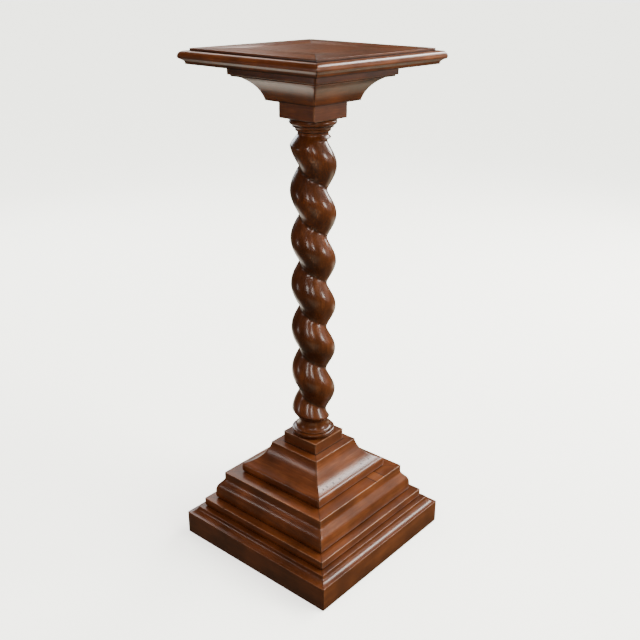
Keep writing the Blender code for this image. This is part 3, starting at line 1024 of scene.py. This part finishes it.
# Name, azimuth and elevation in degrees, distance from the pedestal's middle, width, height, watts, colour
LIGHTS = (
    ("back_right_window", 84.0, 26.0, 3.2, 0.9, 1.5, 98.0, (1.0, 0.98, 0.95)),
    ("high_right_window", 66.0, 44.0, 3.2, 1.3, 0.5, 78.0, (1.0, 0.98, 0.95)),
    ("back_left_window", 161.0, 19.0, 3.2, 1.2, 1.0, 32.0, (0.86, 0.93, 1.0)),
    ("left_lamp", -126.0, 8.0, 3.4, 0.26, 0.5, 7.0, (1.0, 0.96, 0.92)),
    ("front_left_lamp", -65.0, 27.0, 3.4, 0.26, 0.8, 18.0, (1.0, 0.96, 0.92)),
    ("front_lamp", -34.0, 27.0, 3.4, 0.26, 0.8, 20.0, (1.0, 0.96, 0.92)),
    ("right_lamp", 22.0, 15.0, 3.4, 0.5, 0.7, 34.0, (1.0, 0.95, 0.9)),
    ("back_wall", 149.0, 32.0, 3.6, 1.6, 0.9, 20.0, (1.0, 0.9, 0.84)),
    ("right_wall", 40.0, 8.0, 3.4, 2.2, 1.3, 9.0, (1.0, 0.96, 0.92)),
)

# Name, azimuth and elevation in degrees, strength, colour of the broad fills
FILLS = (
    ("right_fill", 30.0, 33.0, 9.0, (0.95, 1.05, 0.93)),
    ("left_fill", -115.0, 50.0, 2.6, (1.0, 0.9, 0.78)),
)

# Name, place on the floor, width, watts, colour of the lit patches that the undersides' polish shows
FLOOR_GLOWS = (
    ("back_left_glow", (-0.94, 0.2), 0.85, 4.6, (1.0, 0.9, 0.77)),
    ("back_right_glow", (0.15, 1.2), 0.75, 1.8, (1.0, 0.93, 0.7)),
    ("front_glow", (1.15, -1.32), 1.9, 6.5, (1.0, 0.93, 0.66)),
)

# Name, place, what it is aimed at, width, spread in degrees, watts, colour
HEAD_LAMP = ("head_lamp", (0.8, -0.92, 0.04), (0.0, 0.0, 0.98), 0.2, 22.0, 95.0, (1.0, 0.85, 0.6))


def away_from_middle(azimuth, elevation):
    """Unit vector towards a light, from its azimuth and elevation in degrees."""
    turn = Euler((0.0, -math.radians(elevation), math.radians(azimuth)))
    return turn.to_matrix() @ Vector((1.0, 0.0, 0.0))


def new_light(kind, name, power, colour, place=(0.0, 0.0, 0.0), turn=(0.0, 0.0, 0.0)):
    """Adds a light that stays out of sight itself."""
    only()
    bpy.ops.object.light_add(type=kind, location=place, rotation=turn)
    light = bpy.context.object
    light.name = light.data.name = name
    light.data.energy = power
    light.data.color = colour
    light.visible_camera = False
    return light


def facing(away):
    """Turn of a light that shines against a direction."""
    return away.to_track_quat("Z", "Y").to_euler()


def soft_light(name, azimuth, elevation, distance, width, height, power, colour):
    """A softbox that faces the middle of the pedestal."""
    away = away_from_middle(azimuth, elevation)
    place = Vector((0.0, 0.0, 0.5)) + distance * away
    lamp = new_light("AREA", name, power, colour, place, facing(away))
    lamp.data.shape = "RECTANGLE"
    lamp.data.size = width
    lamp.data.size_y = height


def floor_glow(name, place, width, power, colour):
    """A lit patch of floor, which only the polish shows."""
    patch = new_light("AREA", name, power, colour, (*place, 5.0 * MM), (math.pi, 0.0, 0.0))
    patch.data.shape = "SQUARE"
    patch.data.size = width
    patch.visible_diffuse = False


def head_lamp(name, place, aim, width, spread, power, colour):
    """A warm lamp on the floor that lights the underside of the head, and which the polish doesn't show."""
    lamp = new_light("SPOT", name, power, colour, place, facing(Vector(place) - Vector(aim)))
    lamp.data.shadow_soft_size = width
    lamp.data.spot_size = math.radians(spread)
    lamp.data.spot_blend = 0.8
    lamp.visible_glossy = False


def broad_fill(name, azimuth, elevation, strength, colour):
    """Soft light from one side, too broad to show in the polish."""
    fill = new_light("SUN", name, strength, colour, turn=facing(away_from_middle(azimuth, elevation)))
    fill.data.angle = math.radians(50.0)
    fill.visible_glossy = False


def painted(backdrop, name, colour, glow):
    """Paints a part of the studio in a plain pale colour that glows a little.

    The wood is lit by the dim room and the lamps alone, and its polish doesn't show the bright studio."""
    backdrop.name = backdrop.data.name = name
    material = bpy.data.materials.new(f"{name}_paint")
    material.use_nodes = True
    shader = material.node_tree.nodes["Principled BSDF"]
    shader.inputs["Base Color"].default_value = colour
    shader.inputs["Roughness"].default_value = 0.9
    shader.inputs["Emission Color"].default_value = (1.0, 1.0, 1.0, 1.0)
    shader.inputs["Emission Strength"].default_value = glow
    backdrop.data.materials.append(material)
    backdrop.visible_glossy = False
    backdrop.visible_diffuse = False


class PEDESTAL_OT_stage(bpy.types.Operator):
    """A plain pale floor and wall, soft studio lights and the camera"""

    bl_idname = "pedestal.stage"
    bl_label = "Stage"

    def execute(self, context):
        stage = context.scene.pedestal_stage
        only()
        bpy.ops.mesh.primitive_plane_add(size=stage.floor_size, location=(0.0, 0.0, 0.0))
        painted(context.object, "studio_floor", linear(stage.floor_colour), 1.6)
        only()
        bpy.ops.mesh.primitive_cylinder_add(
            vertices=128,
            radius=0.5 * stage.floor_size,
            depth=stage.wall_height,
            end_fill_type="NOTHING",
            location=(0.0, 0.0, 0.5 * stage.wall_height),
        )
        wall = context.object
        painted(wall, "studio_wall", (0.0, 0.0, 0.0, 1.0), 3.4)
        wall.visible_shadow = False

        world = bpy.data.worlds.new("pale_studio")
        context.scene.world = world
        world.use_nodes = True
        tree = world.node_tree
        direction = add_node(tree, "TexCoord", output="Generated")
        up = add_node(tree, "SeparateXYZ", (direction,), "Z")
        # Dim olive below the horizon and dark overhead
        tones = ((0.0, 0.09), (0.45, 0.05), (0.52, 0.02), (1.0, 0.02))
        stops = [(place, (tone, 0.92 * tone, 0.66 * tone, 1.0)) for place, tone in tones]
        sky = add_node(tree, "Math", (up, 0.5, 0.5), operation="MULTIPLY_ADD")
        sky = add_node(tree, "ValToRGB", (sky,), stops=stops)
        tree.links.new(sky, tree.nodes["Background"].inputs["Color"])
        tree.nodes["Background"].inputs["Strength"].default_value = 2.2

        for settings in LIGHTS:
            soft_light(*settings)
        for settings in FILLS:
            broad_fill(*settings)
        for settings in FLOOR_GLOWS:
            floor_glow(*settings)
        head_lamp(*HEAD_LAMP)

        bpy.ops.object.camera_add(location=stage.camera_place)
        camera = context.object
        camera.name = "photo_camera"
        pan, tilt, roll = stage.camera_turn
        turn = Matrix.Rotation(pan, 3, "Z") @ Matrix.Rotation(tilt, 3, "X") @ Matrix.Rotation(roll, 3, "Z")
        camera.rotation_euler = turn.to_euler()
        camera.data.sensor_width = 36.0
        camera.data.lens = stage.lens
        camera.data.clip_end = 200.0
        context.scene.camera = camera
        return {"FINISHED"}


OPERATORS = (
    PEDESTAL_OT_plinth_board,
    PEDESTAL_OT_step_board,
    PEDESTAL_OT_ogee_board,
    PEDESTAL_OT_cove_base,
    PEDESTAL_OT_stock_blocks,
    PEDESTAL_OT_twist_column,
    PEDESTAL_OT_capital,
    PEDESTAL_OT_top_board,
    PEDESTAL_OT_top_rails,
    PEDESTAL_OT_top_field,
    PEDESTAL_OT_stage,
)


class PEDESTAL_PT_panel(bpy.types.Panel):
    """Lists the pedestal's pieces and sizes"""

    bl_label = "Barley Twist Pedestal"
    bl_idname = "PEDESTAL_PT_panel"
    bl_space_type = "VIEW_3D"
    bl_region_type = "UI"
    bl_category = "Pedestal"

    def draw(self, context):
        for operator in OPERATORS:
            self.layout.operator(operator.bl_idname)
        for group in ("pedestal_shape", "pedestal_finish", "pedestal_stage"):
            settings = getattr(context.scene, group)
            column = self.layout.column()
            for name in settings.__annotations__:
                column.prop(settings, name)


GROUPS = {
    "pedestal_shape": PedestalShape,
    "pedestal_finish": PedestalFinish,
    "pedestal_stage": PedestalStage,
}
CLASSES = (*GROUPS.values(), *OPERATORS, PEDESTAL_PT_panel)


def register():
    for each in CLASSES:
        bpy.utils.register_class(each)
    for name, group in GROUPS.items():
        setattr(bpy.types.Scene, name, PointerProperty(type=group))


def unregister():
    for name in GROUPS:
        delattr(bpy.types.Scene, name)
    for each in reversed(CLASSES):
        bpy.utils.unregister_class(each)


def main():
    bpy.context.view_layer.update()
    register()
    bpy.ops.pedestal.plinth_board()
    bpy.ops.pedestal.step_board()
    bpy.ops.pedestal.ogee_board()
    bpy.ops.pedestal.cove_base()
    bpy.ops.pedestal.stock_blocks()
    bpy.ops.pedestal.twist_column()
    bpy.ops.pedestal.capital()
    bpy.ops.pedestal.top_board()
    bpy.ops.pedestal.top_rails()
    bpy.ops.pedestal.top_field()
    bpy.ops.pedestal.stage()
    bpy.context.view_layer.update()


if __name__ == "__main__":
    main()
